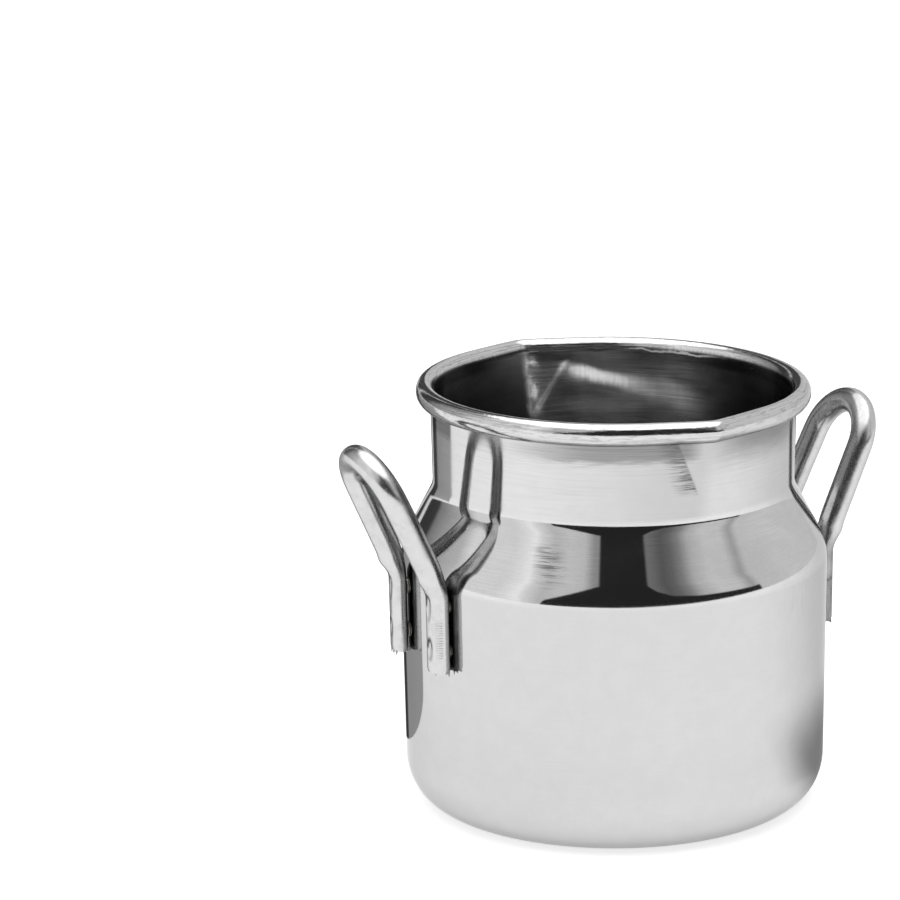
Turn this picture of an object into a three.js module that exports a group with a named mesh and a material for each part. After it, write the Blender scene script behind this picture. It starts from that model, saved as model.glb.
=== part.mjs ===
// Small two-handled stainless steel milk can, 14 cl, open topped, with two pouring lips.
// A one-piece drawn and spun shell with an outward curled rim, and two bent rod handles whose
// flattened feet are spot welded to the wall, two welds to each foot.
//
// Frame: millimetres, +Z up. The origin is the centre of the base on the plane the can stands on.
// The handles lie on the X axis, the right one at +X, and the pouring lips on the Y axis.
// Front is -Y and back is +Y.
import * as THREE from "three";

const { clamp, degToRad, lerp, smoothstep } = THREE.MathUtils;

// ---- shell dimensions ---------------------------------------------------------------------
const SHEET = 0.6; // thickness of the shell

const STAND_INNER_R = 17.6; // inner edge of the flat ring the can stands on
const PANEL_R = 16.4; // raised centre panel of the base
const PANEL_LIFT = 0.7;
const PANEL_STEP_SHIFT = 0.15; // how much wider the panel's step is on the inside of the can

const CORNER_X = 5.6; // rounding where wall and base meet, across
const CORNER_Z = 6.8; // and up
const WALL_LOW_R = 30.0; // outside radius at the top of the base corner
const WALL_HIGH_R = 30.4; // outside radius where the shoulder starts
const SHOULDER_Z = 37.1; // height at which wall and shoulder would meet in a corner
const SHOULDER_ROUND = 8.5; // outside radius of the rounding at the wall
const NECK_Z = 46.1; // height at which shoulder and neck would meet in a corner
const NECK_R = 25.6; // outside radius of the neck
const NECK_ROUND = 4.5; // outside radius of the rounding at the neck
const NECK_RING_Z = [49.6, 52.2, 54.6, 56.8]; // rings of mesh points up the neck

const CURL_X = 1.3; // half width of the rolled rim
const CURL_Z = 1.6; // half height of the rolled rim
const CURL_HEIGHT = 59.55; // height of the rolled rim's centre
const CURL_START = degToRad(180); // angle round the curl at which it leaves the neck
const CURL_END = degToRad(-106); // angle at which the sheet's edge stops, just clear of the neck

const LIP_HALF_ANGLE = degToRad(20); // either side of a lip, where the rim leaves the circle
const LIP_SOFTNESS = degToRad(1.4); // angle over which the lip's corner is rounded
const LIP_REGAIN = 0.35; // share of that softness given back to the lip as extra reach
const RIM_OVAL = 1.2; // how far the rim is drawn out towards both lips, besides their corners

// ---- handle dimensions --------------------------------------------------------------------
const ROD_R = 1.8;
const FOOT_THICK = 2.35; // flattened foot, across the wall
const FOOT_WIDE = 3.9; // flattened foot, along the wall
const FOOT_GAP = 0.2; // room between foot and wall, where the welds sit
const FOOT_SWING = degToRad(11.6); // angle between a foot and the middle of its handle
const FOOT_BOTTOM_Z = 23.8;
const FOOT_LINE_Z = [FOOT_BOTTOM_Z, 25.2, 27, 29, 31, 32.8, 34]; // points of the rod's line
const FOOT_STEP_Z = 35.9; // middle of the slope where the round rod runs into the flat foot
const FOOT_STEP_LONG = 3.4; // height of that slope
const BEND_Z = 37.3; // height of the bend above the foot
const BEND_REACH = 2.3; // length of rod line taken up by the bend, either side of its corner
const LEAN = degToRad(25); // angle the handle leans out from the vertical
const LEG_SHARES = [0.35, 0.55, 0.75, 0.9]; // points of the leg, as shares of its length
const LOOP_HALF = 6.1; // half the distance between the two legs at the loop
const LOOP_TOP_Z = 53.95; // rod centre at the top of the loop

const WELD_R = 1.15;
const WELD_THICK = 0.15;
const WELD_LEVELS = [
  { level: "upper", z: 33.0 },
  { level: "lower", z: 26.6 },
];

// The two handles are welded on at slightly different heights.
const SIDES = [
  { sideName: "right", turn: 0, lift: -0.55, legs: { back: 1, front: -1 } },
  { sideName: "left", turn: Math.PI, lift: 0.35, legs: { front: 1, back: -1 } },
];

// ---- mesh fineness ------------------------------------------------------------------------
const SHELL_FACETS = 52;
const FACET_CROWDING = 0.26; // how strongly facets are drawn together near the lips
const BASE_CORNER_STEPS = 6;
const SHOULDER_STEPS = 4;
const NECK_STEPS = 3;
const CURL_HOLLOW_STEPS = 8;
const CURL_OUTER_STEPS = 11;
const ROD_SIDES = 12;
const ROD_STEPS = 56;
const BEND_STEPS = 4;
const QUARTER_LOOP_STEPS = 6;
const WELD_FACETS = 16;

// ---- materials ----------------------------------------------------------------------------
const polishedSteel = new THREE.MeshStandardMaterial({
  name: "polished_steel",
  color: 0xd2d3d4,
  metalness: 1,
  roughness: 0.14,
});
const rodSteel = new THREE.MeshStandardMaterial({
  name: "rod_steel",
  color: 0xc8c9ca,
  metalness: 1,
  roughness: 0.22,
});
const weldSteel = new THREE.MeshStandardMaterial({
  name: "weld_steel",
  color: 0x9a9896,
  metalness: 1,
  roughness: 0.45,
});

// ---- shell --------------------------------------------------------------------------------
const flat = (x, y) => new THREE.Vector2(x, y);
const space = (x, y, z) => new THREE.Vector3(x, y, z);

// Outside radius of the plain wall at height z.
function wallRadius(z) {
  const share = clamp((z - CORNER_Z) / (SHOULDER_Z - CORNER_Z), 0, 1);
  return lerp(WALL_LOW_R, WALL_HIGH_R, share);
}

// Points of an elliptical arc, each with the normal that points away from the centre.
function arc(centre, halfX, halfY, start, sweep, steps) {
  return Array.from({ length: steps + 1 }, (_, i) => {
    const angle = start + (sweep * i) / steps;
    const cos = Math.cos(angle);
    const sin = Math.sin(angle);
    return {
      point: flat(centre.x + halfX * cos, centre.y + halfY * sin),
      normal: flat(cos / halfX, sin / halfY).normalize(),
    };
  });
}

// The arc that rounds a corner between the straight lines from `before` and to `after`.
function roundedCorner(before, corner, after, radius, steps) {
  const toBefore = before.clone().sub(corner).normalize();
  const toAfter = after.clone().sub(corner).normalize();
  const halfAngle = toBefore.angleTo(toAfter) / 2;
  const tangentLength = radius / Math.tan(halfAngle);
  const middle = toBefore.clone().add(toAfter).normalize();
  const centre = corner.clone().addScaledVector(middle, radius / Math.sin(halfAngle));
  const first = corner.clone().addScaledVector(toBefore, tangentLength).sub(centre);
  const last = corner.clone().addScaledVector(toAfter, tangentLength).sub(centre);
  const sweep = Math.atan2(first.cross(last), first.dot(last));
  return arc(centre, radius, radius, first.angle(), sweep, steps);
}

// The outside surface from the stand ring to the neck, each point with its outward normal.
function outerSkin() {
  const cornerCentre = flat(WALL_LOW_R - CORNER_X, CORNER_Z);
  const cornerTop = flat(WALL_LOW_R, CORNER_Z);
  const shoulder = flat(WALL_HIGH_R, SHOULDER_Z);
  const neck = flat(NECK_R, NECK_Z);
  const neckTop = flat(NECK_R, CURL_HEIGHT);
  const quarter = Math.PI / 2;

  const neckArc = roundedCorner(shoulder, neck, neckTop, NECK_ROUND, NECK_STEPS);
  // this rounding is hollow, so its centre lies outside the can
  neckArc.forEach(({ normal }) => normal.negate());

  return [
    ...arc(cornerCentre, CORNER_X, CORNER_Z, -quarter, quarter, BASE_CORNER_STEPS),
    ...roundedCorner(cornerTop, shoulder, neck, SHOULDER_ROUND, SHOULDER_STEPS),
    ...neckArc,
    ...NECK_RING_Z.map((z) => ({ point: flat(NECK_R, z), normal: flat(1, 0) })),
  ];
}

// Closed section of the sheet as (radius, height), from the axis below the base, up the outside,
// round the curl and down the inside back to the axis.
function shellProfile() {
  const skin = outerSkin();
  const outside = skin.map(({ point }) => point);
  const inside = skin.map(({ point, normal }) => point.clone().addScaledVector(normal, -SHEET));

  const curl = flat(NECK_R - SHEET + CURL_X, CURL_HEIGHT);
  const sweep = CURL_END - CURL_START;
  const hollow = arc(
    curl, CURL_X - SHEET, CURL_Z - SHEET, CURL_START, sweep, CURL_HOLLOW_STEPS,
  );
  const outer = arc(curl, CURL_X, CURL_Z, CURL_END, -sweep, CURL_OUTER_STEPS);

  return [
    flat(0, PANEL_LIFT),
    flat(PANEL_R, PANEL_LIFT),
    flat(STAND_INNER_R, 0),
    ...outside,
    ...[...hollow, ...outer].map(({ point }) => point),
    ...inside.reverse(),
    flat(STAND_INNER_R + PANEL_STEP_SHIFT, SHEET),
    flat(PANEL_R + PANEL_STEP_SHIFT, PANEL_LIFT + SHEET),
    flat(0, PANEL_LIFT + SHEET),
  ];
}

// How far the sheet stands out of its circle at a given angle from the nearest lip and height.
// The rim is a slight oval, and the lip is a corner whose two sides are tangent to its circle.
// Both die away at the foot of the neck.
function lipPush(fromLip, z) {
  const growth = clamp((z - NECK_Z) / (CURL_HEIGHT - NECK_Z), 0, 1);
  const reach = LIP_HALF_ANGLE * growth;
  const softness = LIP_SOFTNESS * growth;
  const away = Math.hypot(fromLip, softness) - softness * LIP_REGAIN;
  const corner = away < reach ? NECK_R * (1 / Math.cos(reach - away) - 1) : 0;
  return corner + (RIM_OVAL * growth * (1 + Math.cos(2 * fromLip))) / 2;
}

function shellGeometry() {
  const lathe = new THREE.LatheGeometry(shellProfile(), SHELL_FACETS);
  lathe.rotateX(Math.PI / 2);
  const positions = lathe.attributes.position;
  for (let i = 0; i < positions.count; i++) {
    const x = positions.getX(i);
    const y = positions.getY(i);
    const z = positions.getZ(i);
    const radius = Math.hypot(x, y);
    if (radius < 1e-6) {
      // points on the axis are set exactly on it
      positions.setXYZ(i, 0, 0, z);
      continue;
    }
    // facets are drawn together near the lips, where the rim bends most
    const evenAngle = Math.atan2(y, x);
    const angle = evenAngle + FACET_CROWDING * Math.sin(2 * evenAngle);
    const fromLip = Math.abs(Math.abs(angle) - Math.PI / 2);
    const pushed = radius + lipPush(fromLip, z);
    positions.setXYZ(i, pushed * Math.cos(angle), pushed * Math.sin(angle), z);
  }
  return lathe;
}

// ---- handles ------------------------------------------------------------------------------
// Made in a handle's own frame: +X out from the can, Y along the wall.

// Distance from the can's axis to the rod's centre where it lies against the wall.
const rodDistance = (z) => wallRadius(z) + FOOT_GAP + ROD_R;

function footPoint(z) {
  const distance = rodDistance(z);
  return space(distance * Math.cos(FOOT_SWING), distance * Math.sin(FOOT_SWING), z);
}

// Centre line of the rod: the +Y half from foot to loop top, then its mirror image.
function handleLine() {
  const leanWay = space(Math.sin(LEAN), 0, Math.cos(LEAN));
  const down = space(0, 0, -1);
  const bendCorner = footPoint(BEND_Z);
  const loopBaseZ = LOOP_TOP_Z - LOOP_HALF * Math.cos(LEAN);
  const legRun = (loopBaseZ - BEND_Z) / Math.cos(LEAN);
  const legTop = bendCorner.clone().addScaledVector(leanWay, legRun).setY(LOOP_HALF);
  const legWay = legTop.clone().sub(bendCorner).normalize();

  const bend = new THREE.QuadraticBezierCurve3(
    bendCorner.clone().addScaledVector(down, BEND_REACH),
    bendCorner,
    bendCorner.clone().addScaledVector(legWay, BEND_REACH),
  );
  const half = [
    ...FOOT_LINE_Z.map(footPoint),
    ...bend.getPoints(BEND_STEPS),
    ...LEG_SHARES.map((share) => bendCorner.clone().lerp(legTop, share)),
  ];
  for (let i = 0; i <= QUARTER_LOOP_STEPS; i++) {
    const angle = (Math.PI / 2) * (i / QUARTER_LOOP_STEPS);
    const point = legTop.clone().addScaledVector(leanWay, LOOP_HALF * Math.sin(angle));
    half.push(point.setY(LOOP_HALF * Math.cos(angle)));
  }
  const mirrored = half
    .slice(0, -1)
    .reverse()
    .map(({ x, y, z }) => space(x, -y, z));
  return new THREE.CatmullRomCurve3([...half, ...mirrored], false, "centripetal");
}

function rodSection() {
  const corners = Array.from({ length: ROD_SIDES }, (_, i) => {
    const angle = (2 * Math.PI * (i + 0.5)) / ROD_SIDES;
    return flat(ROD_R * Math.cos(angle), ROD_R * Math.sin(angle));
  });
  return new THREE.Shape(corners).closePath();
}

// Presses each foot flat: the side against the wall stays where it is, the outer side comes in.
function flattenFeet(rod) {
  const positions = rod.attributes.position;
  for (let i = 0; i < positions.count; i++) {
    const y = positions.getY(i);
    const z = positions.getZ(i);
    const press = smoothstep(FOOT_STEP_Z + FOOT_STEP_LONG / 2 - z, 0, FOOT_STEP_LONG);
    if (press === 0) continue;
    const outward = flat(Math.cos(FOOT_SWING), Math.sign(y) * Math.sin(FOOT_SWING));
    const sideways = flat(-outward.y, outward.x);
    const centre = outward.clone().multiplyScalar(rodDistance(z));
    const offset = flat(positions.getX(i), y).sub(centre);
    const thinning = lerp(1, FOOT_THICK / (2 * ROD_R), press);
    const widening = lerp(1, FOOT_WIDE / (2 * ROD_R), press);
    const across = (offset.dot(outward) + ROD_R) * thinning - ROD_R;
    const along = offset.dot(sideways) * widening;
    const moved = centre.addScaledVector(outward, across).addScaledVector(sideways, along);
    positions.setXYZ(i, moved.x, moved.y, z);
  }
}

function handleGeometry() {
  const rod = new THREE.ExtrudeGeometry(rodSection(), {
    steps: ROD_STEPS,
    extrudePath: handleLine(),
    curveSegments: 1,
  });
  flattenFeet(rod);
  return rod;
}

// ---- welds --------------------------------------------------------------------------------
// A thin round nugget between foot and wall, at an angle round the can from +X.
function makeWeld(name, angle, z) {
  const nugget = new THREE.CylinderGeometry(WELD_R, WELD_R, WELD_THICK, WELD_FACETS);
  nugget.rotateZ(Math.PI / 2); // axis from Y to X
  const weld = new THREE.Mesh(nugget, weldSteel);
  weld.name = name;
  const distance = wallRadius(z) + FOOT_GAP / 2;
  weld.position.set(distance * Math.cos(angle), distance * Math.sin(angle), z);
  weld.rotation.z = angle;
  return weld;
}

// ---- assembly -----------------------------------------------------------------------------
// One handle with its four welds; `legs` gives the sign of Y of each leg in the handle's frame.
function makeSide({ sideName, turn, lift, legs }) {
  const side = new THREE.Group();
  side.rotation.z = turn;
  side.position.z = lift;

  const handle = new THREE.Mesh(handleGeometry(), rodSteel);
  handle.name = `handle_${sideName}`;
  side.add(handle);

  for (const [legName, sign] of Object.entries(legs)) {
    for (const { level, z } of WELD_LEVELS) {
      side.add(makeWeld(`weld_${sideName}_${legName}_${level}`, sign * FOOT_SWING, z));
    }
  }
  return side;
}

const milkCan = new THREE.Group();
milkCan.name = "milk_can";

const shell = new THREE.Mesh(shellGeometry(), polishedSteel);
shell.name = "can_shell";
milkCan.add(shell, ...SIDES.map(makeSide));

export default milkCan;
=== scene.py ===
# Small two-handled stainless steel milk can: a thin round shell with a rolled rim and two
# pouring lips, and two bent rod handles whose feet are pressed flat against the wall.
# Frame: +Z up, origin at the centre of the base, handles on X, pouring lips on Y, front at -Y.
import math
from types import SimpleNamespace

import bmesh
import bpy
from mathutils import Matrix, Vector, noise


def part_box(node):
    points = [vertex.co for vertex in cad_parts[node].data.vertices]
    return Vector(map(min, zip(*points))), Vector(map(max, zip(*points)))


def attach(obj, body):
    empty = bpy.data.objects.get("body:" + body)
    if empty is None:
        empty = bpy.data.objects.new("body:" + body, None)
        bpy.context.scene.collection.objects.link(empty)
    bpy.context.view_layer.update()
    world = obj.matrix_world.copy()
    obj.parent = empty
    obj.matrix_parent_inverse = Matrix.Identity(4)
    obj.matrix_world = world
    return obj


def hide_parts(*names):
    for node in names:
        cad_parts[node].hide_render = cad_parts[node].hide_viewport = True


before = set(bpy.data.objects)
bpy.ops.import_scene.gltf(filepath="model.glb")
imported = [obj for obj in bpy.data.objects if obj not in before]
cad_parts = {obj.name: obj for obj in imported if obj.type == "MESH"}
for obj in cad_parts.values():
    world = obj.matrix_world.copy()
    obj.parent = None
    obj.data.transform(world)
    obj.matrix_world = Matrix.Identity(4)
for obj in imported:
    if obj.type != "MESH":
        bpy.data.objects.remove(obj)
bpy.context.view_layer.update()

MM = 0.001
DEGREES = 180 / math.pi  # degrees in a radian
rad = math.radians

# ---- driving sizes: millimetres, angles in radians ----------------------------------------
shell_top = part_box("can_shell")[1]
TOP_Z = shell_top[2] / MM  # top of the rolled rim
WALL_HIGH_R = shell_top[0] / MM  # widest part, just under the shoulder
WALL_LOW_R = WALL_HIGH_R - 0.4
SHEET = 0.6
CORNER_WIDE, CORNER_TALL = 5.6, 6.8  # elliptical corner between base and wall
SHOULDER_Z, NECK_Z, NECK_R = 37.1, 46.1, 25.6
SHOULDER_ROUND, NECK_ROUND = 8.5, 4.5

# Raised panel in the base and the ring the can stands on
STAND_INNER_R, PANEL_R, PANEL_LIFT = 17.6, 16.4, 0.7
PANEL_EASE = 0.3  # how far the slope between them runs past both radii
PANEL_RADII = (4, 8, 12, 15)
STAND_OUTER_R = 21.0

# Rolled rim: an elliptical curl
CURL_HALF_WIDE, CURL_HALF_TALL = 1.3, 1.6
CURL_Z = TOP_Z - CURL_HALF_TALL
CURL_END = -106  # degrees, where the sheet's edge stops
CURL_START_DROP = 0.55  # the neck stops this far below the curl's centre

# Pouring lips, and the shallow crease on one side of each
LIP_HALF_ANGLE, LIP_SOFTNESS, RIM_OVAL = rad(20.0), rad(1.4), 1.2
CREASE_LOW_Z, CREASE_TOP_Z = 49.9, 58.6
CREASE_FRONT_START, CREASE_FRONT_SPREAD = 1.6, 8.2  # degrees from the lip's point
CREASE_BACK_SPREAD = 14.0
CREASE_DEPTH = 0.16
CREASE_FADE_Z = (58.0, 59.0)

# Handles
ROD_R, FOOT_THICK, FOOT_WIDE = 1.8, 2.35, 3.9
FOOT_STEP_Z, FOOT_STEP_LONG = 35.9, 3.4  # where the pressed foot turns back into round rod
FOOT_GAP, SWING = 0.2, rad(11.6)  # SWING: angle of each foot round the can from X
BEND_Z, BEND_HALF, LEAN = 37.3, 2.3, rad(25.0)
LOOP_HALF, LOOP_TOP_Z = 6.1, 53.95
FOOT_BOTTOM_Z = 23.8
FOOT_HOLLOW_R = 31.0  # curve of the foot's face against the wall
# The two handles do not sit quite level with each other
HANDLE_LIFT = {
    node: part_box(node)[0][2] / MM - FOOT_BOTTOM_Z for node in ("handle_left", "handle_right")
}
# Spot weld dents on each foot: height, place across the foot, half height
WELD_DENTS = ((33.2, -0.50, 1.9), (27.2, -0.34, 1.5))
DENT_HALF_WIDE, DENT_DEPTH, DENT_LIP = 0.58, 0.22, 0.09
CRACK_Z = 30.05


# ---- small helpers ------------------------------------------------------------------------
def clamp(x, low=0.0, high=1.0):
    return low if x < low else high if x > high else x


def smooth(x, start, end):
    t = clamp((x - start) / (end - start))
    return t * t * (3 - 2 * t)


def lerp(a, b, t):
    return a + (b - a) * t


def link_mesh(name, bm):
    mesh = bpy.data.meshes.new(name)
    bm.to_mesh(mesh)
    bm.free()
    ob = bpy.data.objects.new(name, mesh)
    bpy.context.scene.collection.objects.link(ob)
    return ob


def smooth_object(name, bm, sharp_degrees=35):
    """Object with smooth shading and sharp edges above the given angle."""
    bmesh.ops.recalc_face_normals(bm, faces=bm.faces)
    for face in bm.faces:
        face.smooth = True
    for edge in bm.edges:
        if len(edge.link_faces) == 2 and edge.calc_face_angle(0.0) > rad(sharp_degrees):
            edge.smooth = False
    return link_mesh(name, bm)


def join_rings(bm, rings):
    """Quads between each closed ring of vertices and the next."""
    for ring, following in zip(rings[:-1], rings[1:]):
        for j in range(len(ring)):
            k = (j + 1) % len(ring)
            bm.faces.new((ring[j], ring[k], following[k], following[j]))


# ---- shell --------------------------------------------------------------------------------
def wall_radius(z):
    k = clamp((z - CORNER_TALL) / (SHOULDER_Z - CORNER_TALL))
    return WALL_LOW_R + (WALL_HIGH_R - WALL_LOW_R) * k


def rounded_corner(start, corner, end, radius, steps, convex):
    """Arc that rounds a corner, as (point, normal away from the metal) pairs."""
    corner = Vector(corner)
    to_start = (Vector(start) - corner).normalized()
    to_end = (Vector(end) - corner).normalized()
    half = math.acos(clamp(to_start.dot(to_end), -1, 1)) / 2
    centre = corner + (to_start + to_end).normalized() * radius / math.sin(half)
    first = corner + to_start * radius / math.tan(half) - centre
    last = corner + to_end * radius / math.tan(half) - centre
    first_turn = math.atan2(first.y, first.x)
    last_turn = math.atan2(last.y, last.x)
    if last_turn - first_turn > math.pi:
        last_turn -= 2 * math.pi
    if last_turn - first_turn < -math.pi:
        last_turn += 2 * math.pi
    arc = []
    for i in range(steps + 1):
        turn = first_turn + (last_turn - first_turn) * i / steps
        normal = Vector((math.cos(turn), math.sin(turn)))
        arc.append((centre + normal * radius, normal if convex else -normal))
    return arc


def between(start, end, pieces):
    """Points inside a straight run, all with the start's normal."""
    return [(start[0].lerp(end[0], i / pieces), start[1]) for i in range(1, pieces)]


def outer_skin():
    """Outside of the shell from base corner to curl, as (point, normal) pairs."""
    skin = []
    for i in range(25):
        turn = rad(-90 + 90 * i / 24)
        across, upward = math.cos(turn), math.sin(turn)
        point = Vector((
            WALL_LOW_R - CORNER_WIDE + CORNER_WIDE * across,
            CORNER_TALL + CORNER_TALL * upward,
        ))
        skin.append((point, Vector((across / CORNER_WIDE, upward / CORNER_TALL)).normalized()))
    wall_foot = (WALL_LOW_R, CORNER_TALL)
    shoulder, neck, mouth = (WALL_HIGH_R, SHOULDER_Z), (NECK_R, NECK_Z), (NECK_R, CURL_Z)
    shoulder_arc = rounded_corner(wall_foot, shoulder, neck, SHOULDER_ROUND, 26, True)
    neck_arc = rounded_corner(shoulder, neck, mouth, NECK_ROUND, 16, False)
    skin += between((skin[-1][0], shoulder_arc[0][1]), shoulder_arc[0], 24)
    skin += shoulder_arc
    skin += between(shoulder_arc[-1], neck_arc[0], 12)
    skin += neck_arc
    end = (Vector((NECK_R, CURL_Z - CURL_START_DROP)), Vector((1, 0)))
    skin += between(neck_arc[-1], end, 28)
    skin.append(end)
    return skin


def curl_arc(first, last, pieces, inset):
    """Part of the rim's curl, between two angles in degrees."""
    centre_r = NECK_R - SHEET + CURL_HALF_WIDE
    arc = []
    for i in range(pieces + 1):
        turn = rad(first + (last - first) * i / pieces)
        arc.append(Vector((
            centre_r + (CURL_HALF_WIDE - inset) * math.cos(turn),
            CURL_Z + (CURL_HALF_TALL - inset) * math.sin(turn),
        )))
    return arc


def base_panel(lift):
    """Raised panel, easing down to the standing ring."""
    points = [Vector((r, PANEL_LIFT + lift)) for r in PANEL_RADII]
    for i in range(11):
        k = i / 10
        r = lerp(PANEL_R - PANEL_EASE, STAND_INNER_R + PANEL_EASE, k)
        points.append(Vector((r, lift + PANEL_LIFT * (1 - smooth(k, 0, 1)))))
    points.append(Vector((STAND_OUTER_R, lift)))
    return points


def shell_profile():
    """Section of the shell: (radius, height, 1 for the inside surface)."""
    skin = outer_skin()
    outside = [point for point, normal in skin]
    inside = [point - normal * SHEET for point, normal in skin]
    hollow = curl_arc(180, CURL_END, 24, SHEET)
    roll = curl_arc(CURL_END, 180, 44, 0.0)
    profile = [(p.x, p.y, 0) for p in base_panel(0) + outside + hollow]
    profile += [(p.x, p.y, 1 if i > 40 else 0) for i, p in enumerate(roll)]
    profile += [(p.x, p.y, 1) for p in inside[::-1] + base_panel(SHEET)[::-1]]
    return profile


def lip_push(from_lip, z):
    """How far the pouring lips and the oval rim push the neck out."""
    k = clamp((z - NECK_Z) / (CURL_Z - NECK_Z))
    reach, soft = LIP_HALF_ANGLE * k, LIP_SOFTNESS * k
    away = math.hypot(from_lip, soft) - soft * 0.35
    corner = NECK_R * (1 / math.cos(reach - away) - 1) if away < reach else 0.0
    return corner + RIM_OVAL * k * (1 + math.cos(2 * from_lip)) / 2


def lip_crease(from_lip, z, front):
    """Straight crease on one side of a lip, running down to the lip's point."""
    k = clamp((z - CREASE_LOW_Z) / (CREASE_TOP_Z - CREASE_LOW_Z))
    if k <= 0 or z > CREASE_FADE_Z[1]:
        return 0.0
    spread = (CREASE_FRONT_START + CREASE_FRONT_SPREAD * k) if front else CREASE_BACK_SPREAD * k
    offset = (from_lip - rad(spread)) * NECK_R
    depth = CREASE_DEPTH * math.exp(-abs(offset) / (0.9 if offset > 0 else 0.55))
    fade = smooth(k, 0.0, 0.25) * smooth(from_lip, 0.0, rad(2.0))
    return -depth * fade * (1 - smooth(z, *CREASE_FADE_Z))


def sheet_wobble(angle, r, z):
    """The sheet is never quite true between the base and the rim."""
    place = Vector((math.cos(angle) * r, math.sin(angle) * r, z))
    wave = noise.noise(place * 0.055 + Vector((7.1, 3.3, 1.7)))
    return 0.012 * wave * smooth(z, 2.0, 9.0) * (1 - smooth(z, 57.0, 59.0))


def build_shell():
    turns = 360
    bm = bmesh.new()
    inside = bm.verts.layers.float.new("inside")
    run = bm.verts.layers.float.new("run")  # mm along the section from the middle of the base
    rings = []
    length, last = 0.0, (0.0, PANEL_LIFT)
    for r, z, is_inside in shell_profile():
        length += math.hypot(r - last[0], z - last[1])
        last = (r, z)
        ring = []
        for j in range(turns):
            angle = 2 * math.pi * j / turns
            angle += 0.22 * math.sin(2 * angle)  # columns crowd towards the lips
            cos, sin = math.cos(angle), math.sin(angle)
            from_lip = abs(abs(math.atan2(sin, cos)) - math.pi / 2)
            radius = r
            if z > NECK_Z:
                radius += lip_push(from_lip, z)
                if cos * sin > 0:
                    radius += lip_crease(from_lip, z, sin < 0)
            radius += sheet_wobble(angle, r, z)
            vert = bm.verts.new((radius * cos * MM, radius * sin * MM, z * MM))
            vert[inside] = is_inside
            vert[run] = length
            ring.append(vert)
        rings.append(ring)
    under = bm.verts.new((0, 0, PANEL_LIFT * MM))
    over = bm.verts.new((0, 0, (PANEL_LIFT + SHEET) * MM))
    over[inside] = 1
    over[run] = length + PANEL_RADII[0]
    join_rings(bm, rings)
    for j in range(turns):
        k = (j + 1) % turns
        bm.faces.new((under, rings[0][k], rings[0][j]))
        bm.faces.new((over, rings[-1][j], rings[-1][k]))
    return smooth_object("shell_polished", bm)


# ---- handles ------------------------------------------------------------------------------
def foot_point(z):
    r = wall_radius(z) + FOOT_GAP + ROD_R
    return Vector((r * math.cos(SWING), r * math.sin(SWING), z))


def handle_path():
    """Centre line of the +Y half of the +X handle, from the foot to the loop's top."""
    leaning = Vector((math.sin(LEAN), 0, math.cos(LEAN)))
    bend = foot_point(BEND_Z)
    loop_z = LOOP_TOP_Z - LOOP_HALF * math.cos(LEAN)
    loop_start = bend + leaning * ((loop_z - BEND_Z) / math.cos(LEAN))
    loop_start.y = LOOP_HALF
    rising = (loop_start - bend).normalized()
    foot_points = 46
    half = []
    for i in range(foot_points):
        z = lerp(FOOT_BOTTOM_Z, BEND_Z - BEND_HALF, i / (foot_points - 1))
        half.append(foot_point(z))
    bend_in, bend_out = half[-1].copy(), bend + rising * BEND_HALF
    for i in range(1, 13):
        t = i / 12
        half.append(bend_in * (1 - t) ** 2 + bend * 2 * t * (1 - t) + bend_out * t * t)
    for i in range(1, 17):
        half.append(bend_out.lerp(loop_start, i / 17))
    for i in range(25):
        turn = math.pi / 2 * i / 24
        p = Vector((loop_start.x, 0, loop_start.z)) + leaning * LOOP_HALF * math.sin(turn)
        p.y = LOOP_HALF * math.cos(turn)
        half.append(p)
    # ease the small kinks between the pieces, ends kept
    for _ in range(3):
        eased = [p.copy() for p in half]
        for i in range(foot_points - 4, len(half) - 1):
            eased[i] = (half[i - 1] + half[i] * 2 + half[i + 1]) / 4
        half = eased
    half[-1].y = 0
    return half


def section_axes(line, i, leg):
    """Directions square to the rod at a station: away from the can, and across."""
    centre = line[i]
    tangent = (line[min(i + 1, len(line) - 1)] - line[max(i - 1, 0)]).normalized()
    radial = Vector((math.cos(SWING), leg * math.sin(SWING), 0))
    # towards the loop the section turns to face along X
    turned = smooth(centre.z, BEND_Z - 1.0, BEND_Z + 5.0)
    outward = radial.lerp(Vector((1, 0, 0)), turned)
    outward = (outward - tangent * outward.dot(tangent)).normalized()
    return outward, tangent.cross(outward).normalized()


def rod_section(unit_x, unit_y, press):
    """Round rod (press 0) to flatter, wider foot (press 1); x is away from the can."""
    x = unit_x * ROD_R
    y = unit_y * lerp(ROD_R, FOOT_WIDE / 2, press)
    x = (x + ROD_R) * lerp(1.0, FOOT_THICK / (2 * ROD_R), press) - ROD_R
    if press > 0:  # the face against the wall follows its curve, the outer face less so
        hollow = press * (-0.5 * y * y / FOOT_HOLLOW_R)
        x += hollow * (1 - smooth(x, -ROD_R, -ROD_R + FOOT_THICK) * 0.4)
    return x, y


def weld_dents(y, z):
    """Narrow upright dents with a raised lip above: (shift outwards, darkness of mark)."""
    shift = mark = 0.0
    for dent_z, dent_y, half_tall in WELD_DENTS:
        u, v = (y - dent_y) / DENT_HALF_WIDE, (z - dent_z) / half_tall
        away = math.hypot(u, v)
        shift -= DENT_DEPTH * (1 - smooth(away, 0.55, 1.0)) * (0.6 + 0.4 * v)
        edge = math.exp(-(((away - 0.92) / 0.26) ** 2))
        if v > 0.1:
            shift += DENT_LIP * edge
        outline = edge * (1.25 if v > 0.1 else 0.55) * (1.0 if u > -0.4 or v > 0 else 0.3)
        streak = 0.5 * math.exp(-((u - 0.25) / 0.35) ** 2) * (1 - smooth(abs(v), 0.5, 0.95))
        mark = max(mark, outline, streak)
    return shift, mark


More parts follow.
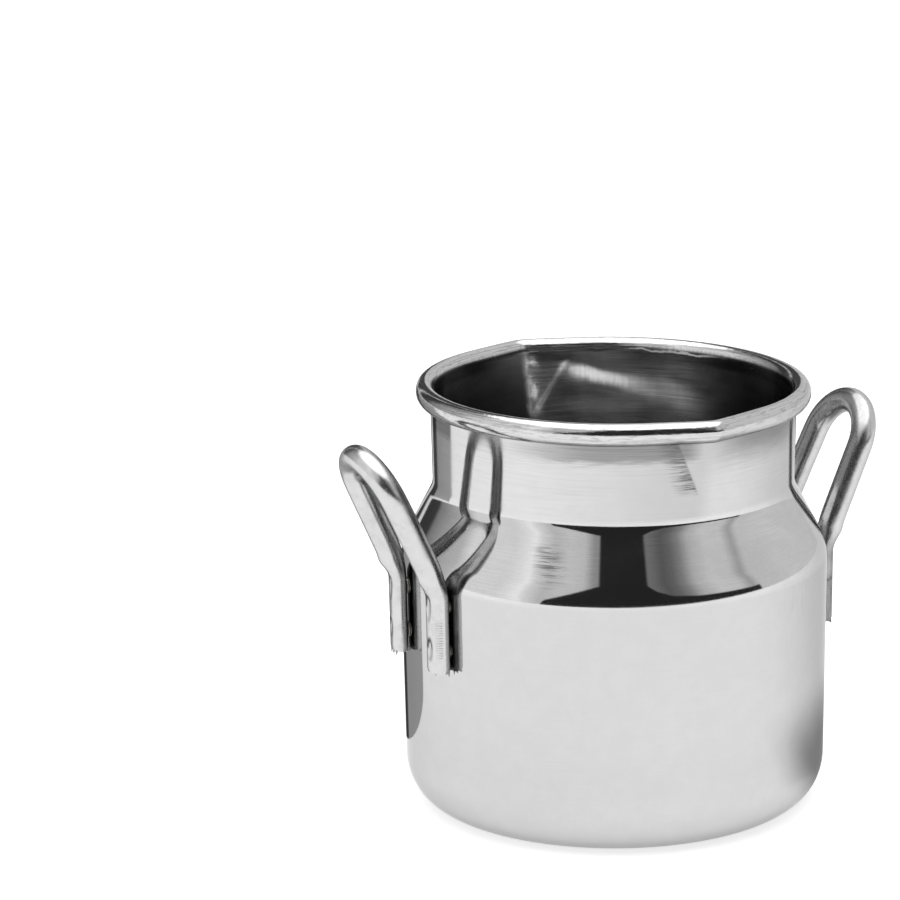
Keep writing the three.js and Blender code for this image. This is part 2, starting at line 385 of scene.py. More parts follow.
def cap_rod(bm, ring, pressed):
    """Close a cut end with a slightly raised inner ring and a centre point."""
    middle = Vector((0, 0, 0))
    for vert in ring:
        middle += vert.co
    middle /= len(ring)
    inner = []
    for vert in ring:
        inset = bm.verts.new(middle.lerp(vert.co, 0.82) + Vector((0, 0, -0.04 * MM)))
        inset[pressed] = 1
        inner.append(inset)
    centre = bm.verts.new(middle + Vector((0, 0, 0.03 * MM)))
    centre[pressed] = 1
    for j in range(len(ring)):
        k = (j + 1) % len(ring)
        bm.faces.new((ring[j], ring[k], inner[k], inner[j]))
        bm.faces.new((inner[j], inner[k], centre))


def build_handle(name, side, lift):
    """Side is 1 for the +X handle, -1 for the -X one, which is turned round at the end."""
    half = handle_path()
    line = half + [Vector((p.x, -p.y, p.z)) for p in reversed(half[:-1])]
    sides = 96
    bm = bmesh.new()
    # shaded: darkened side towards the can; jaw: toothed strip along one edge of a foot
    pressed, shaded, marked, jaw = (
        bm.verts.layers.float.new(key) for key in ("pressed", "shaded", "marked", "jaw")
    )
    along = [0.0]
    for start, end in zip(line[:-1], line[1:]):
        along.append(along[-1] + (end - start).length)
    rings = []
    for i, centre in enumerate(line):
        leg = 1 if i < len(half) else -1
        outward, across = section_axes(line, i, leg)
        z = centre.z
        press = smooth(FOOT_STEP_Z + FOOT_STEP_LONG / 2 - z, 0, FOOT_STEP_LONG)
        from_end = smooth(min(along[i], along[-1] - along[i]), 0.0, 0.5)
        squareness = lerp(1.0, 0.84, press)
        ring = []
        for j in range(sides):
            turn = 2 * math.pi * j / sides
            cos, sin = math.cos(turn), math.sin(turn)
            unit_x = math.copysign(abs(cos) ** squareness, cos)
            unit_y = math.copysign(abs(sin) ** squareness, sin)
            x, y = rod_section(unit_x, unit_y, press)
            mark = 0.0
            if cos > 0 and press > 0.5:
                shift, mark = weld_dents(y, z)
                x += shift
            if side > 0 and leg < 0 and press > 0.9:  # a fine crack across the front foot
                crack = (z - CRACK_Z - 0.22 * math.sin(turn * 2)) / 0.13
                mark = max(mark, math.exp(-(crack ** 2)))
            # rounding of the cut end
            y *= lerp(0.93, 1.0, from_end)
            if press > 0.5:
                middle_x = FOOT_THICK / 2 - ROD_R
                x = lerp((x - middle_x) * 0.9 + middle_x, x, from_end)
            p = centre + outward * x + across * y
            q = p + Vector((leg * 9.0, side * 5.0, 0))
            rough = noise.noise(q * 0.35) * 0.012 + noise.noise(q * 1.3) * 0.003
            p += (outward * unit_x + across * unit_y) * rough
            if i in (0, len(line) - 1):  # uneven cut end with burrs
                p.z += 0.16 * noise.noise(q * 1.9)
                burr = noise.noise(Vector((j * 0.83, leg * 7.0, side * 3.0))) - 0.25
                if burr > 0:
                    p += Vector((0, 0, -1)) * burr * 2.2 + outward * unit_x * 0.12
            shade = smooth(-cos, -0.15, 0.45) * lerp(0.35 if side > 0 else 0.72, 1.0, press)
            if side > 0:  # the right handle's feet are darker, in bands
                band = noise.noise(Vector((leg * 3.0, 0.0, z * 0.33)))
                shade = max(shade, press * (0.74 + 0.6 * band))
            jaw_across = smooth(y, 0.75, 1.0) * (1 - smooth(y, 1.75, 1.9))
            jaw_upright = smooth(z, 25.6, 26.4) * (1 - smooth(z, 31.0, 32.0))
            vert = bm.verts.new(p * MM)
            vert[pressed] = press
            vert[shaded] = shade
            vert[marked] = mark
            vert[jaw] = press * (cos > -0.2) * jaw_across * jaw_upright
            ring.append(vert)
        rings.append(ring)
    join_rings(bm, rings)
    for ring in (rings[0], rings[-1]):
        cap_rod(bm, ring, pressed)
    ob = smooth_object(name, bm, 50)
    ob.data.transform(Matrix.Translation((0, 0, lift * MM)))
    if side < 0:
        ob.data.transform(Matrix.Rotation(math.pi, 4, "Z"))
    return ob


# ---- shader graphs ------------------------------------------------------------------------
class Value:
    """A shader output that can be used in arithmetic; each operation adds one Math node."""

    def __init__(self, graph, socket):
        self.graph = graph
        self.socket = socket

    def math(self, operation, other=0.0, clamped=False):
        return self.graph.math(operation, self, other, clamped)

    def __add__(self, other):
        return self.math("ADD", other)

    def __radd__(self, other):
        return self.graph.math("ADD", other, self)

    def __sub__(self, other):
        return self.math("SUBTRACT", other)

    def __rsub__(self, other):
        return self.graph.math("SUBTRACT", other, self)

    def __mul__(self, other):
        return self.math("MULTIPLY", other)

    def __truediv__(self, other):
        return self.math("DIVIDE", other)

    def step(self, start, end, low=0.0, high=1.0):
        """Smooth change from `low` at `start` to `high` at `end`."""
        inputs = {0: self, 1: start, 2: end, 3: low, 4: high}
        return self.graph.out("ShaderNodeMapRange", inputs, interpolation_type="SMOOTHSTEP")

    def band(self, rise_start, rise_end, fall_start, fall_end):
        return self.step(rise_start, rise_end) * self.step(fall_end, fall_start)

    def hump(self, middle, width):
        """1 at `middle`, falling to 0 over `width` either side."""
        return (self - middle).math("ABSOLUTE").step(width, 0.0)

    def curve(self, stops, top=1.0):
        """Piecewise linear curve over (position, value) stops, values up to `top`."""
        first, last = stops[0][0], stops[-1][0]
        span = last - first
        node = self.graph.node("ShaderNodeValToRGB", {0: (self - first) / span})
        elements = node.color_ramp.elements
        while len(elements) < len(stops):
            elements.new(0.5)
        for element, (position, value) in zip(elements, stops):
            element.position = (position - first) / span
            element.color = (value / top, value / top, value / top, 1)
        return Value(self.graph, node.outputs[0]) * top


class Graph:
    """Short hand for writing shader nodes."""

    def __init__(self, tree):
        self.tree = tree

    def fill(self, node, inputs):
        for key, value in inputs.items():
            if isinstance(value, Value):
                self.tree.links.new(value.socket, node.inputs[key])
            else:
                node.inputs[key].default_value = value

    def node(self, kind, inputs=None, **settings):
        node = self.tree.nodes.new(kind)
        for key, value in settings.items():
            setattr(node, key, value)
        self.fill(node, inputs or {})
        return node

    def out(self, kind, inputs=None, output=0, **settings):
        return Value(self, self.node(kind, inputs, **settings).outputs[output])

    def math(self, operation, a, b, clamped=False):
        inputs = {0: a, 1: b, 2: 0.0}
        return self.out("ShaderNodeMath", inputs, operation=operation, use_clamp=clamped)

    def vector_math(self, operation, inputs, output=0):
        return self.out("ShaderNodeVectorMath", inputs, output, operation=operation)

    def mix(self, factor, a, b):
        return self.out("ShaderNodeMix", {0: factor, 2: a, 3: b}, data_type="FLOAT")

    def blend(self, factor, a, b, mode="MIX"):
        """Mix two colours; a plain number stands for a grey."""
        a, b = ((v, v, v, 1) if isinstance(v, float) else v for v in (a, b))
        inputs = {0: factor, 6: a, 7: b}
        return self.out("ShaderNodeMix", inputs, output=2, data_type="RGBA", blend_type=mode)

    def grey(self, value):
        return self.out("ShaderNodeCombineColor", {0: value, 1: value, 2: value})

    def noise(self, place, scale, detail, rough, distortion=0.0):
        inputs = {"Vector": place, "Scale": scale, "Detail": detail, "Roughness": rough}
        inputs["Distortion"] = distortion
        return self.out("ShaderNodeTexNoise", inputs)

    def xyz(self, x, y, z):
        return self.out("ShaderNodeCombineXYZ", {0: x, 1: y, 2: z})

    def split(self, vector):
        node = self.node("ShaderNodeSeparateXYZ", {0: vector})
        return [Value(self, node.outputs[i]) for i in range(3)]

    def coordinates(self, kind):
        return self.out("ShaderNodeTexCoord", output=kind)

    def millimetres(self):
        return [axis * 1000.0 for axis in self.split(self.coordinates("Object"))]

    def attribute(self, name):
        return self.out("ShaderNodeAttribute", output="Fac", attribute_name=name)

    def bump(self, height):
        """Bump from a height in millimetres."""
        return self.out("ShaderNodeBump", {"Strength": 1.0, "Distance": MM, "Height": height})


def new_material(name):
    material = bpy.data.materials.new(name)
    material.use_nodes = True
    return material, Graph(material.node_tree), material.node_tree.nodes["Principled BSDF"]


# ---- shell material -----------------------------------------------------------------------
# Noise streaked round the can:
# cells across the can, cells per mm along the section, seed, detail, roughness, distortion
STREAKS = {
    "hairline": (2.2, 6.5, 0.0, 3.0, 0.65, 0.0),
    "fine_hairline": (5.0, 14.0, 40.0, 2.0, 0.6, 0.0),
    "scratch": (9.0, 3.6, 80.0, 3.0, 0.6, 0.0),
    "lines": (2.0, 4.4, 120.0, 3.0, 0.6, 0.0),
    "flecks": (15.0, 3.4, 160.0, 3.0, 0.65, 0.0),
    "patches": (2.6, 0.22, 9.0, 3.0, 0.6, 0.4),
}
# Heights over which one zone of the shell gives way to the next
SHOULDER_FADE, NECK_FADE, RIM_FADE = (35.4, 36.4), (46.4, 47.2), (57.6, 58.6)
# Painted shade on the neck by angle round the can, degrees, standing in for its reflections;
# darkest round the front lip at -90
NECK_PAINTED_SHADE = (
    (-180, 0.99), (-146, 1.0), (-133, 0.96), (-120, 0.90), (-107, 0.82), (-92, 0.78),
    (-87, 0.92), (-79, 0.93), (-66, 0.90), (-58, 0.92), (-48, 0.98), (180, 0.99),
)


def shell_fields(g):
    """Places, masks and noises that the shell's roughness, colour and bump share."""
    x, y, z = g.millimetres()
    angle = y.math("ARCTAN2", x)
    cos, sin = angle.math("COSINE"), angle.math("SINE")
    place = g.xyz(x, y, z)
    run = g.attribute("run")
    f = SimpleNamespace(z=z, cos=cos, sin=sin, place=place, degrees=angle * DEGREES)
    f.inside = g.attribute("inside")
    f.on_wall = z.step(*SHOULDER_FADE[::-1])
    f.on_shoulder = z.band(*SHOULDER_FADE, *NECK_FADE)
    f.on_neck = z.band(*NECK_FADE, *RIM_FADE)
    f.on_rim = z.step(57.6, 58.4)
    for name, (stretch, fine, seed, detail, rough, distortion) in STREAKS.items():
        space = g.xyz(cos * stretch, sin * stretch, run * fine + seed)
        setattr(f, name, g.noise(space, 1.0, detail, rough, distortion))
    f.mottle = g.noise(place, scale=0.35, detail=4.0, rough=0.6)
    f.grit = g.noise(place, scale=4.0, detail=3.0, rough=0.7)
    upright_space = g.xyz(cos * 70.0, sin * 70.0, z * 0.25)
    f.upright = g.noise(upright_space, scale=1.0, detail=3.0, rough=0.6)

    # Degrees from the nearer lip's point, and from its crease (+ away from the lip)
    sine_size = sin.math("ABSOLUTE").math("MINIMUM", 1.0)
    f.from_lip = sine_size.math("ARCCOSINE") * DEGREES
    crease_tall = CREASE_TOP_Z - CREASE_LOW_Z
    f.up_crease = (z - CREASE_LOW_Z).math("DIVIDE", crease_tall, clamped=True)
    back = f.up_crease * CREASE_BACK_SPREAD
    front = CREASE_FRONT_START + f.up_crease * CREASE_FRONT_SPREAD
    f.from_crease = f.from_lip - g.mix(sin.math("LESS_THAN", 0.0), back, front)
    return f


def shell_roughness(g, f):
    rough = (
        0.05
        + f.patches.step(0.42, 0.75) * 0.012
        + f.on_shoulder * (f.patches.step(0.40, 0.7) * 0.012)
        + f.on_neck * (0.04 + f.patches.step(0.35, 0.7) * 0.05)
        + f.on_rim * (0.05 + f.flecks.step(0.40, 0.65) * 0.08)
        + f.grit.step(0.45, 0.8) * 0.02
    )
    return g.mix(f.inside, rough, 0.17 + f.patches * 0.16)


def outside_colour(g, f):
    """Nearly neutral steel, darker on the wall; each blend below lays one kind of mark or
    painted shade over it.
    """
    colour = g.blend(f.mottle.step(0.35, 0.7), 0.585, 0.605)
    # painted shade: the wall gets a darker copy of the steel, to tone down its reflection of the
    # glowing floor
    wall_shaded_colour = g.blend(f.mottle.step(0.35, 0.7), 0.533, 0.548)
    colour = g.blend(f.on_wall, colour, wall_shaded_colour)
    # painted shade on the neck, graded by angle round the can and darkest round the front lip
    neck_painted_shade = g.mix(f.on_neck, 1.0, f.degrees.curve(NECK_PAINTED_SHADE))
    colour = g.blend(1.0, colour, g.grey(neck_painted_shade), "MULTIPLY")
    # hairlines, stronger on the neck and towards its top
    hairs = f.hairline.step(0.52, 0.72) * (0.10 + f.on_neck * 0.22)
    neck_lines = f.lines.step(0.50, 0.66) * f.on_neck
    hairs = hairs + neck_lines * f.z.step(48.0, 55.0, low=0.08, high=0.34)
    colour = g.blend(hairs, colour, 0.42)
    # short dark flecks and lines all round the rolled rim
    colour = g.blend(f.on_rim * (f.flecks.step(0.50, 0.68) * 0.45), colour, 0.24)
    colour = g.blend(f.on_rim * (f.lines.step(0.47, 0.62) * 0.40), colour, 0.26)
    # fine grain of the sheet
    grain = f.grit.step(0.40, 0.75) * (0.05 + f.on_shoulder * 0.14)
    colour = g.blend(grain, colour, 0.40)
    # a few upright scuffs on the wall, right of the front lip
    scuff_area = f.degrees.band(-72.0, -60.0, -35.0, -25.0) * f.z.band(20.0, 34.0, 35.5, 37.0)
    scuffs = f.upright.step(0.50, 0.72) * scuff_area
    colour = g.blend(scuffs * 0.25, colour, 0.40)
    # cloudy lighter patches on the shoulder
    cloud = f.on_shoulder * (f.patches.step(0.36, 0.60) * f.fine_hairline.step(0.40, 0.62))
    colour = g.blend(cloud * 0.35, colour, 0.76)
    # coarse slanting rub on the shoulder, left of the front lip
    slanted = f.degrees + (f.z - 41.6) * 0.5
    rub_area = slanted.hump(-136.5, 6.5) * f.z.hump(41.4, 4.4)
    rub = rub_area * (f.lines.step(0.42, 0.56) * f.scratch.step(0.40, 0.56))
    rub = (rub * f.on_shoulder).math("MULTIPLY", 0.80, clamped=True)
    colour = g.blend(rub, colour, 0.10)
    # ragged band of painted shade under the rim: left of the front lip, right of it, then the
    # +X+Y side
    ragged = f.z + (f.scratch - 0.5) * 1.6
    under = ragged.step(54.7, 56.0) * (0.80 + f.lines.step(0.4, 0.7) * 0.20)
    left = f.degrees.band(-160.0, -122.0, -97.0, -90.0) * under
    right = f.degrees.band(-96.0, -72.0, -35.0, -20.0) * ragged.step(52.3, 57.4)
    painted_rim_shade = left.math("MAXIMUM", right * 0.9)
    painted_rim_shade = painted_rim_shade.math("MAXIMUM", f.degrees.step(-15.0, 20.0) * under * 0.8)
    colour = g.blend(painted_rim_shade * f.on_neck * 0.86, colour, 0.16)
    # painted shade as a dark line along each lip's crease, and smears beside it
    line = f.from_crease.hump(0.1, 0.9) * f.up_crease.step(0.02, 0.2)
    crease_side = (f.cos * f.sin.math("SIGN")).step(0.0, 0.02)
    smear = (
        f.from_crease.band(-0.4, 0.2, 0.8, 8.5)
        * f.lines.step(0.38, 0.54, low=0.28, high=1.0)
        * f.up_crease.step(0.0, 0.15)
        * f.scratch.step(0.38, 0.56, low=0.34, high=1.0)
    )
    crease_shade_and_smears = (line * 0.32).math("MAXIMUM", smear * 1.0)
    return g.blend(crease_shade_and_smears * f.on_neck * crease_side, colour, 0.12)


def inside_painted_highlights(f, past_lip):
    """Mask of the painted highlights inside, the lighter areas; bands are in degrees past the
    lip, and mm up.
    """
    height = f.z + (f.mottle - 0.5) * 0.9
    slide = (past_lip - 20.0) * 0.11  # the two main patches drop away round the can
    main = past_lip.band(7.0, 18.0, 20.0, 46.0) * (height + slide).band(53.2, 56.1, 56.3, 58.0)
    faint = past_lip.band(22.0, 34.0, 48.0, 68.0) * (height + slide).band(52.8, 56.0, 57.0, 59.2)
    at_lip = past_lip.band(-2.2, 0.6, 2.0, 6.0) * (
        f.z.band(49.5, 52.0, 57.6, 60.0) * f.mottle.step(0.38, 0.60, low=0.35, high=1.0)
    )
    low = past_lip.band(4.0, 16.0, 30.0, 46.0) * height.band(50.0, 51.0, 51.6, 52.6)
    crease = f.from_crease.hump(0.2, 2.2) * past_lip.step(0.0, 1.0)
    crease = crease * f.z.band(49.8, 51.5, 57.5, 58.6)
    hem = (f.z + (f.mottle - 0.5) * 1.4).hump(59.5, 0.28) * past_lip.band(-4.0, 4.0, 50.0, 75.0)
    streaks = 0.84 + f.upright.step(0.30, 0.75) * 0.16
    lit = main * 1.0 + faint * 0.24 + at_lip * 0.60 + (crease * 0.32 + low * 0.22) + hem * 0.5
    return lit.math("MULTIPLY", streaks, clamped=True) * f.inside


def inside_painted_shade(g, f, past_lip, inside_highlight):
    """Painted shade inside the can: very dark brushed steel, mid grey beside the lips, lighter
    at the very top, with the painted highlights laid over it.
    """
    beside_lip = past_lip.band(-0.5, 1.5, 45.0, 75.0)
    tone = g.mix(beside_lip, 0.06 + f.hairline * 0.08, 0.34 + (f.hairline - 0.5) * 0.5)
    tone = g.mix(f.z.step(42.0, 34.0), tone, 0.24)
    tone = g.mix(inside_highlight, tone, 0.40)
    tone = g.mix(f.z.step(59.5, 60.2), tone, 0.46 + f.upright.step(0.35, 0.7) * 0.18)
    return g.grey(tone)


def shell_height(g, f):
    """Hairlines, slight waviness, a lumpy rim and rare nicks, in mm."""
    waves = g.noise(f.place, scale=0.11, detail=1.0, rough=0.4)
    lumps = g.noise(f.place, scale=1.1, detail=2.0, rough=0.6)
    outside = (
        (f.hairline - 0.5) * g.mix(f.on_neck, 0.0010, 0.0024)
        + (f.fine_hairline - 0.5) * g.mix(f.on_neck, 0.0006, 0.0014)
        + waves * 0.006
        + lumps * f.on_rim * 0.014
        + f.flecks * f.on_rim * 0.012
    )
    inner_waves = g.noise(f.place, scale=0.2, detail=2.0, rough=0.5)
    height = g.mix(f.inside, outside, f.hairline * 0.010 + inner_waves * 0.06)
    cells = {"Vector": f.place, "Scale": 0.16, "Randomness": 1.0}
    nicks = g.out("ShaderNodeTexVoronoi", cells, output="Distance").step(0.020, 0.008)
    return height - nicks * 0.008


def shell_material():
    material, g, bsdf = new_material("polished_steel_shell")
    f = shell_fields(g)
    # degrees from the lip, + on the crease's side of it
    past_lip = (f.from_lip - 0.0) * (f.cos * f.sin).math("SIGN")
    inside_highlight = inside_painted_highlights(f, past_lip)
    inner = inside_painted_shade(g, f, past_lip, inside_highlight)
    # the painted highlights inside also have their normals tilted a little upwards
    upward = g.vector_math("SCALE", {0: (0.0, 0.0, 1.0), "Scale": inside_highlight * 0.75})
    tilted = g.vector_math("ADD", {0: g.bump(shell_height(g, f)), 1: upward})
    g.fill(bsdf, {
        "Metallic": 1.0,
        "Base Color": g.blend(f.inside, outside_colour(g, f), inner),
        "Specular Tint": (0.75, 0.75, 0.75, 1),
        "Roughness": shell_roughness(g, f),
        # brushed round the can: highlights spread up and down, most of all on the neck
        "Anisotropic": 0.35 + (f.on_neck + f.on_shoulder * 0.6) * 0.58,
        "Anisotropic Rotation": 0.25,
        "Tangent": g.out("ShaderNodeTangent", direction_type="RADIAL", axis="Z"),
        "Normal": g.vector_math("NORMALIZE", {0: tilted}),
    })
    return material


# ---- handle and weld materials ------------------------------------------------------------
TOOTH_PITCH = 0.36


def rod_material():
    material, g, bsdf = new_material("drawn_steel_rod")
    x, y, z = g.millimetres()
    place = g.xyz(x, y, z)
    shaded, mark, jaw = (g.attribute(key) for key in ("shaded", "marked", "jaw"))
    mottle = g.noise(place, scale=0.5, detail=4.0, rough=0.65)
    grit = g.noise(place, scale=3.5, detail=3.0, rough=0.7)
    drawn_space = g.xyz(x * 2.6, y * 3.2, z * 0.35)  # streaks run mostly upright
    drawn = g.noise(drawn_space, scale=1.0, detail=3.0, rough=0.6)
    blots = g.noise(place, scale=0.22, detail=5.0, rough=0.62).step(0.60, 0.72)
    lumps = g.noise(place, scale=0.7, detail=2.0, rough=0.5)
    teeth = (z * (2 * math.pi / TOOTH_PITCH) + mottle * 7.0).math("SINE").step(-0.2, 0.9)

    rough = 0.22 + mottle.step(0.4, 0.75) * 0.07 + grit.step(0.5, 0.8) * 0.04 + shaded * 0.06
    # blots, the dark side, the toothed strip, then the weld marks and the crack
    colour = g.blend(mottle.step(0.3, 0.75), 0.59, 0.53)
    colour = g.blend(blots * 0.30, colour, 0.30)
    colour = g.blend(shaded * (0.75 + drawn.step(0.35, 0.65) * 0.25), colour, 0.11)
    colour = g.blend(jaw * (0.06 + teeth * grit.step(0.40, 0.6) * 0.20), colour, 0.14)
    colour = g.blend(mark.math("MULTIPLY", 0.85, clamped=True), colour, 0.05)
    height = drawn * 0.006 + lumps * 0.012 + grit * 0.002 + teeth * jaw * 0.012
    g.fill(bsdf, {
        "Metallic": 1.0,
        "Base Color": colour,
        "Specular Tint": (0.7, 0.7, 0.7, 1),
        "Roughness": rough,
        "Normal": g.bump(height),
    })
    return material


def weld_material():
    material, g, bsdf = new_material("weld_nugget_steel")
    mottle = g.noise(g.xyz(*g.millimetres()), scale=1.6, detail=4.0, rough=0.7)
    dark, pale = (0.30, 0.28, 0.26, 1), (0.50, 0.49, 0.48, 1)
    g.fill(bsdf, {
        "Metallic": 1.0,
        "Base Color": g.blend(mottle.step(0.35, 0.7), dark, pale),
        "Roughness": 0.32 + mottle * 0.25,
        "Normal": g.bump(mottle * 0.08),
    })
    return material


# ---- pieces -------------------------------------------------------------------------------
shell = build_shell()
shell.data.materials.append(shell_material())
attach(shell, "root")
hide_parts("can_shell")

rod_steel = rod_material()
for label, side in (("right", 1), ("left", -1)):
    node = "handle_" + label
    handle = build_handle("handle_rod_" + label, side, HANDLE_LIFT[node])
    handle.data.materials.append(rod_steel)
    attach(handle, "root")
    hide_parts(node)

weld_steel = weld_material()
for name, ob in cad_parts.items():
    if name.startswith("weld_"):
        ob.data.materials.clear()
        ob.data.materials.append(weld_steel)

# ---- camera -------------------------------------------------------------------------------
TURN = rad(25.8)  # the handles' axis against the picture plane
PITCH, ROLL = rad(14.0), rad(-0.8)
LENS, SENSOR = 164.0, 36.0
TARGET = Vector((0, 0, 30))
DISTANCE = 586.5
TARGET_RIGHT, TARGET_DOWN = 6.544, 5.62  # where the target falls from the sensor's centre, mm


def build_camera():
    forward = Vector((0, math.cos(PITCH), -math.sin(PITCH)))
    level_right = Vector((1, 0, 0))
    level_up = level_right.cross(forward)
    right = level_right * math.cos(ROLL) + level_up * math.sin(ROLL)
    up = -level_right * math.sin(ROLL) + level_up * math.cos(ROLL)
    ray = (forward + right * TARGET_RIGHT / LENS - up * TARGET_DOWN / LENS).normalized()
    pose = Matrix((right, up, -forward)).transposed().to_4x4()
    pose.translation = (TARGET - ray * DISTANCE) * MM
    data = bpy.data.cameras.new("camera")
    data.sensor_width = SENSOR
    data.lens = LENS
    data.clip_start, data.clip_end = 0.01, 50
    ob = bpy.data.objects.new("camera", data)
    bpy.context.scene.collection.objects.link(ob)
    ob.matrix_world = Matrix.Rotation(-TURN, 4, "Z") @ pose
    bpy.context.scene.camera = ob


build_camera()

# ---- floor: a plain pale sheet ------------------------------------------------------------
# Light on the floor by angle about the can: 0 to the camera's right, 90 away from it
FLOOR_LIGHT = (
    (-180, 1.0), (-22, 1.0), (-8, 0.97), (7, 0.90), (25, 0.81), (42, 0.76), (60, 0.74),
    (90, 0.72), (115, 0.82), (140, 1.0), (180, 1.0),
)


def floor_material():
    material, g, bsdf = new_material("floor")
    place = g.coordinates("Object")
    paper = g.noise(place, scale=40.0, detail=3.0, rough=0.5)
    x, y, _ = g.split(place)
    light_path = g.node("ShaderNodeLightPath")
    is_glossy, is_camera = (
        Value(g, light_path.outputs[key]) for key in ("Is Glossy Ray", "Is Camera Ray")
    )
    rightward = (x * math.cos(TURN) - y * math.sin(TURN)) * 1000.0
    away = (x * math.sin(TURN) + y * math.cos(TURN)) * 1000.0
    angle = away.math("ARCTAN2", rightward) * DEGREES
    distance = (rightward * rightward + away * away).math("SQRT")
    # light falls off behind the can on the right, most of all close to it;
    # the glossy rays pick the second value of this mix
    near = angle.band(-25.0, 8.0, 70.0, 110.0) * distance.step(80.0, 44.0)
    light = angle.curve(FLOOR_LIGHT) * (1.0 - near * 0.64)
    light = g.mix(is_glossy, 1.0, light)
    close_glow = distance.step(62.0, 34.0) * 0.10
    g.fill(bsdf, {
        "Base Color": g.grey(light * g.mix(paper, 0.60, 0.62)),
        "Roughness": 0.9,
        "Specular IOR Level": 0.1,
        # glows a little, evenly to the camera
        "Emission Color": (1, 1, 1, 1),
        "Emission Strength": g.mix(is_camera, light * (0.52 + close_glow), 0.62),
    })
    return material


def build_floor():
    bm = bmesh.new()
    bmesh.ops.create_grid(bm, x_segments=2, y_segments=2, size=3.0)
    floor = link_mesh("floor", bm)
    floor.location.z = -0.00002
    floor.data.materials.append(floor_material())


build_floor()

# ---- card: upright grey arc behind the can on the left, for the steel to mirror -----------
# Millimetres, x to the camera's right and y away from it; angles in degrees about the centre
CARD_X, CARD_Y, CARD_R = -52.0, 52.0, 33.0
CARD_BOTTOM, CARD_TOP = 0.5, 84.0
CARD_FIRST, CARD_LAST, CARD_PIECES = -140, 50, 48
# Angle about the centre, tone
CARD_TONE = (
    (-145, 0.52), (-90, 0.50), (-69, 0.46), (-66, 0.06), (-57, 0.06), (-55, 0.85), (-50, 0.85),
    (-48, 0.03), (-34, 0.03), (-22, 0.34), (10, 0.46), (55, 0.50),
)


def card_material():
    material, g, bsdf = new_material("card")
    nodes = material.node_tree.nodes
    nodes.remove(bsdf)
    place = g.coordinates("Object")
    x, y, _ = g.split(place)
    angle = (y - CARD_Y * MM).math("ARCTAN2", x - CARD_X * MM) * DEGREES
    uneven = 0.97 + g.noise(place, scale=60.0, detail=3.0, rough=0.5) * 0.06
    strength = angle.curve(CARD_TONE) * uneven
    glow = g.out("ShaderNodeEmission", {"Color": (1, 1, 1, 1), "Strength": strength})
    # it shows only to rays that come down on it, so the shoulder looks over it to the studio
    downward = g.split(g.out("ShaderNodeNewGeometry", output="Incoming"))[2]
    clear = g.out("ShaderNodeBsdfTransparent")
    shader = g.out("ShaderNodeMixShader", {0: downward.step(0.04, 0.08), 1: clear, 2: glow})
    g.fill(nodes["Material Output"], {0: shader})
    return material


def build_card():
    bm = bmesh.new()
    columns = []
    for i in range(CARD_PIECES + 1):
        turn = rad(lerp(CARD_FIRST, CARD_LAST, i / CARD_PIECES))
        x, y = CARD_X + CARD_R * math.cos(turn), CARD_Y + CARD_R * math.sin(turn)
        columns.append([bm.verts.new((x * MM, y * MM, z * MM)) for z in (CARD_BOTTOM, CARD_TOP)])
    for a, b in zip(columns[:-1], columns[1:]):
        bm.faces.new((a[0], b[0], b[1], a[1]))
    card = link_mesh("card", bm)
    card.rotation_euler.z = -TURN
    for ray in ("camera", "diffuse", "transmission", "volume_scatter", "shadow"):
        setattr(card, "visible_" + ray, False)
    card.data.materials.append(card_material())


build_card()

# ---- world: white to the camera, a studio to everything else ------------------------------
# Angles are degrees from the camera's direction, + to the camera's right, 180 behind the can.
# Angle, brightness of the walls and soft panels
PANEL_LIGHT = (
    (-180, 0.10), (-168, 0.10), (-158, 0.06), (-157, 0.90), (-154, 0.90), (-153, 0.05),
    (-138, 0.07), (-134, 0.30), (-114, 0.58), (-104, 0.68), (-96, 1.02), (-68, 0.98),
    (-60, 1.12), (-55, 1.25), (-51, 1.0), (-42, 0.72), (-31, 0.80), (-21, 0.74), (-15, 0.40),
    (17, 0.26), (22, 0.22), (29, 0.14), (35, 0.19), (41, 0.32), (48, 0.64), (58, 0.82),
    (70, 0.80), (77, 0.50), (82, 0.78), (106, 0.84), (160, 0.88), (180, 0.9),
)
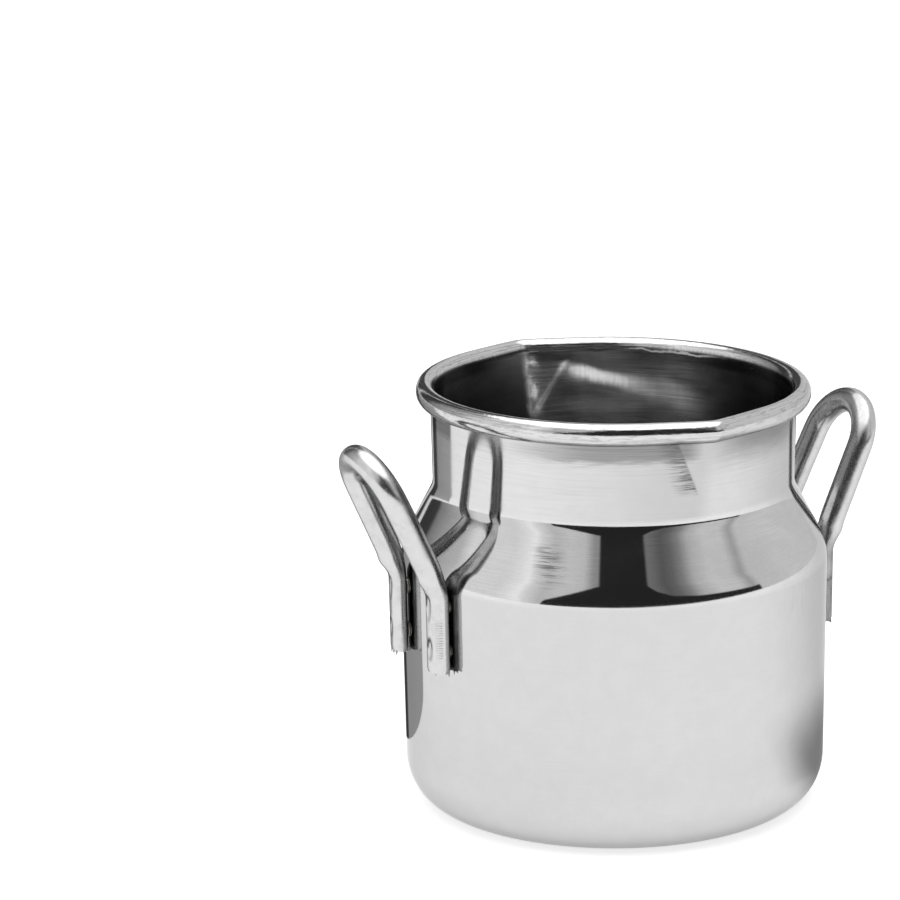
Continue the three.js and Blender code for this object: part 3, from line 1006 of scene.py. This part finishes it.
# Angle, elevation of the panels' lower edge; the dark starts SILL_DROP below it
PANEL_SILL = (
    (-180, 0), (-42, 0), (-40, 11), (-12, 42.5), (18, 42.5), (22, 30), (30, 20), (45, 15),
    (76, 11), (82, 11), (83, 0), (180, 0),
)
SILL_DROP = 4.0
GAP_EDGES = (-12.5, -10.5, 17.5, 19.5)  # dark gap between the panels
CEILING_FADE, GROUND_FADE = (47.5, 50.5), (0.0, -3.0)  # elevations
DARK_LIGHT, CEILING_LIGHT, GROUND_LIGHT, CAMERA_LIGHT = 0.025, 2.2, 1.2, 1.0


def build_world():
    world = bpy.data.worlds.new("studio")
    world.use_nodes = True
    bpy.context.scene.world = world
    world.node_tree.nodes.clear()
    g = Graph(world.node_tree)
    direction = g.coordinates("Generated")
    front = rad(-90) - TURN
    to_camera = (math.cos(front), math.sin(front), 0)
    to_right = (-math.sin(front), math.cos(front), 0)
    ahead, rightward = (
        g.vector_math("DOT_PRODUCT", {0: direction, 1: axis}, output="Value")
        for axis in (to_camera, to_right)
    )
    elevation = g.split(direction)[2].math("ARCSINE") * DEGREES
    angle = rightward.math("ARCTAN2", ahead) * DEGREES
    sill = angle.curve(PANEL_SILL, top=45.0)
    below = (elevation - (sill - SILL_DROP)).step(1.0, -1.0)
    dark = angle.band(*GAP_EDGES).math("MAXIMUM", below)
    light = g.mix(dark, angle.curve(PANEL_LIGHT, top=1.5), DARK_LIGHT)
    light = g.mix(elevation.step(*CEILING_FADE), light, CEILING_LIGHT)
    light = g.mix(elevation.step(*GROUND_FADE), light, GROUND_LIGHT)
    is_camera = g.out("ShaderNodeLightPath", output="Is Camera Ray")
    strength = g.mix(is_camera, light, CAMERA_LIGHT)
    background = g.out("ShaderNodeBackground", {"Color": (1, 1, 1, 1), "Strength": strength})
    g.node("ShaderNodeOutputWorld", {0: background})


build_world()

scene = bpy.context.scene
scene.view_settings.view_transform = "Standard"
scene.view_settings.look = "None"
scene.cycles.max_bounces = 16
scene.cycles.glossy_bounces = 14
scene.cycles.use_denoising = True
